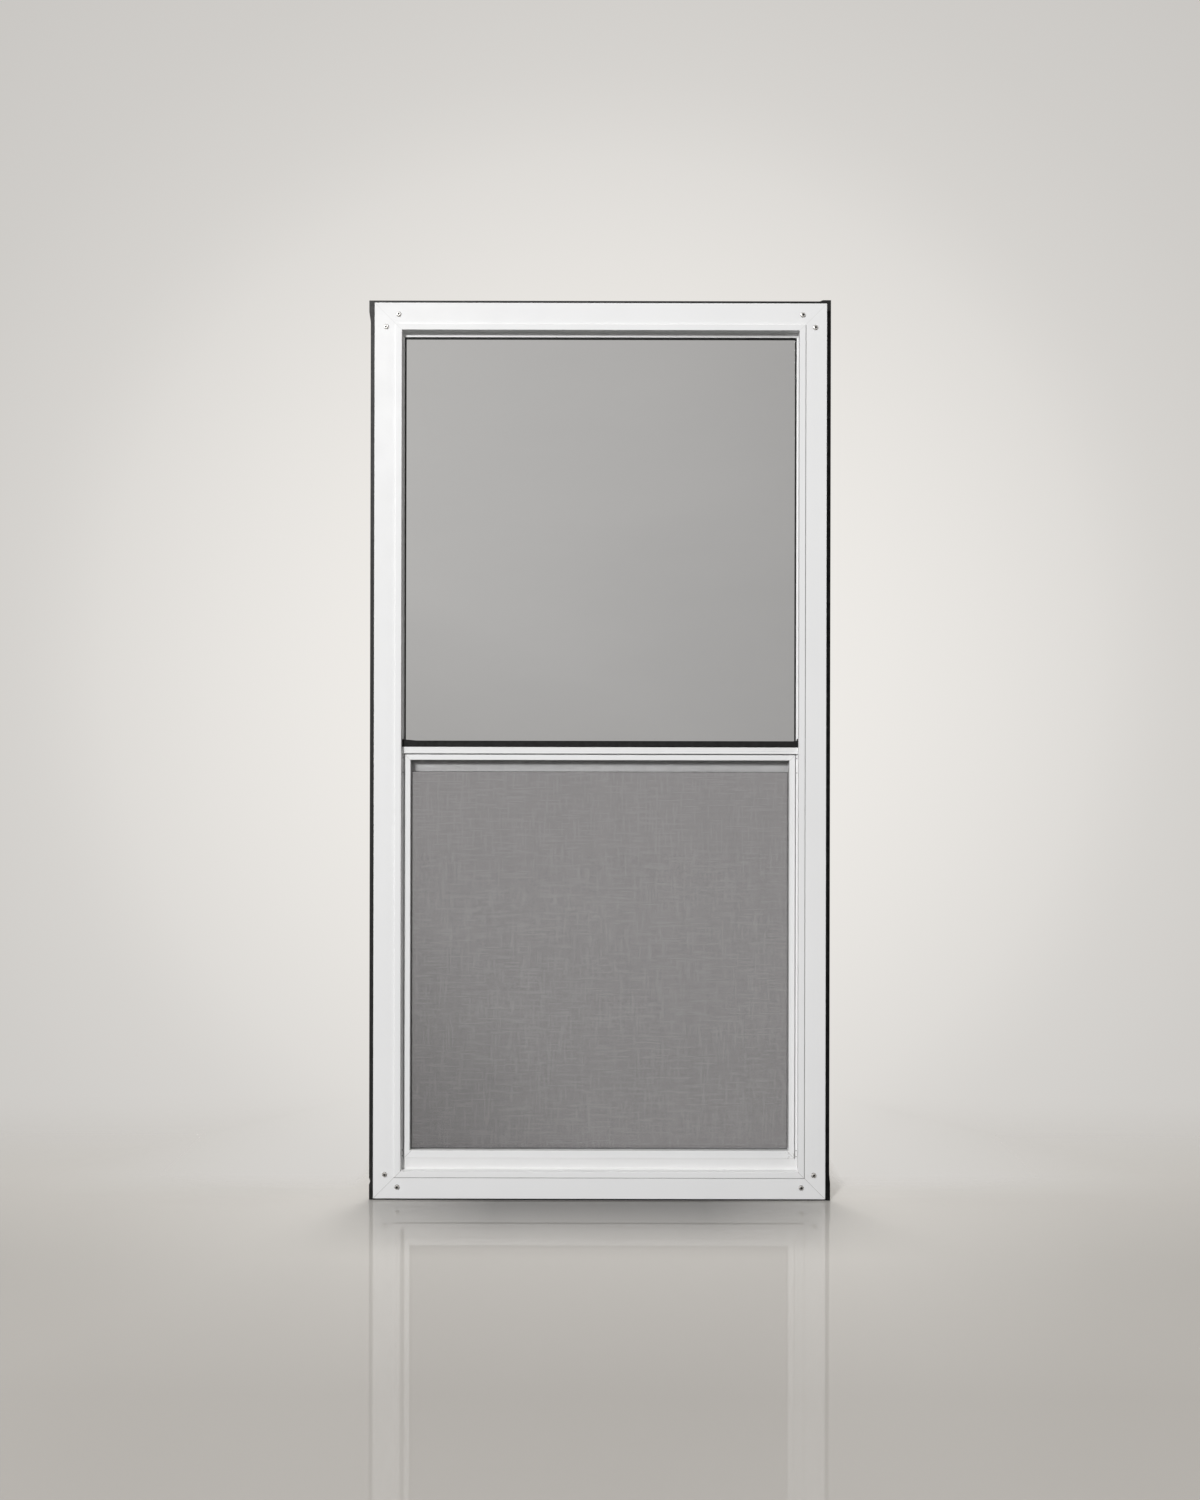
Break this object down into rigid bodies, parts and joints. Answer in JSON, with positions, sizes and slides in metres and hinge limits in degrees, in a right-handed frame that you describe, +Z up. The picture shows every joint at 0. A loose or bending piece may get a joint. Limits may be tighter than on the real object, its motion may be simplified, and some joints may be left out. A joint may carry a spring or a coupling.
{
  "type": "storm window",
  "caption": "White flanged storm window with a fixed upper light, a lift-out insect screen below, a sliding glass sash behind the screen and a black wall seal.",
  "frame": {"origin": "on the wall's face, at the middle of the frame's bottom edge: the point lies on the bottom wall seal's back face", "axes": "+X to the right seen from the front, +Y into the wall, +Z up; the window faces -Y"},
  "size_m": [0.6242, 0.0454, 1.215],
  "materials": {
    "frame_white": "satin",
    "screen_white": "satin",
    "sash_white": "satin",
    "key_metal": "satin",
    "screw_metal": "satin",
    "seal_rubber": "matte",
    "gasket_rubber": "satin",
    "glazing_vinyl": "satin",
    "spline_rubber": "matte",
    "tinted_glass": "polished",
    "screen_cloth": "matte",
    "latch_plastic": "satin"
  },
  "bodies": {
    "root": {"frame_head": "frame_white", "frame_sill": "frame_white", "frame_jamb_left": "frame_white", "frame_jamb_right": "frame_white", "meeting_bar": "frame_white", "corner_key_top_left": "key_metal", "corner_key_top_right": "key_metal", "corner_key_bottom_left": "key_metal", "corner_key_bottom_right": "key_metal", "wall_seal_left": "seal_rubber", "wall_seal_right": "seal_rubber", "wall_seal_bottom": "seal_rubber", "wall_seal_top": "seal_rubber", "meeting_bar_seal": "seal_rubber", "upper_glass": "tinted_glass", "sash_glass": "tinted_glass", "upper_gasket_left": "gasket_rubber", "upper_gasket_right": "gasket_rubber", "upper_gasket_bottom": "gasket_rubber", "upper_gasket_top": "gasket_rubber", "sash_gasket_left": "glazing_vinyl", "sash_gasket_right": "glazing_vinyl", "sash_gasket_bottom": "glazing_vinyl", "sash_gasket_top": "glazing_vinyl", "screen_rail_left": "screen_white", "screen_rail_right": "screen_white", "screen_rail_bottom": "screen_white", "screen_rail_top": "screen_white", "screen_spline_left": "spline_rubber", "screen_spline_right": "spline_rubber", "screen_spline_bottom": "spline_rubber", "screen_spline_top": "spline_rubber", "screen_mesh": "screen_cloth", "sash_rail_left": "sash_white", "sash_rail_right": "sash_white", "sash_rail_bottom": "sash_white", "sash_rail_top": "sash_white", "sash_latch_left": "latch_plastic", "sash_latch_right": "latch_plastic"}
  },
  "joints": []
}
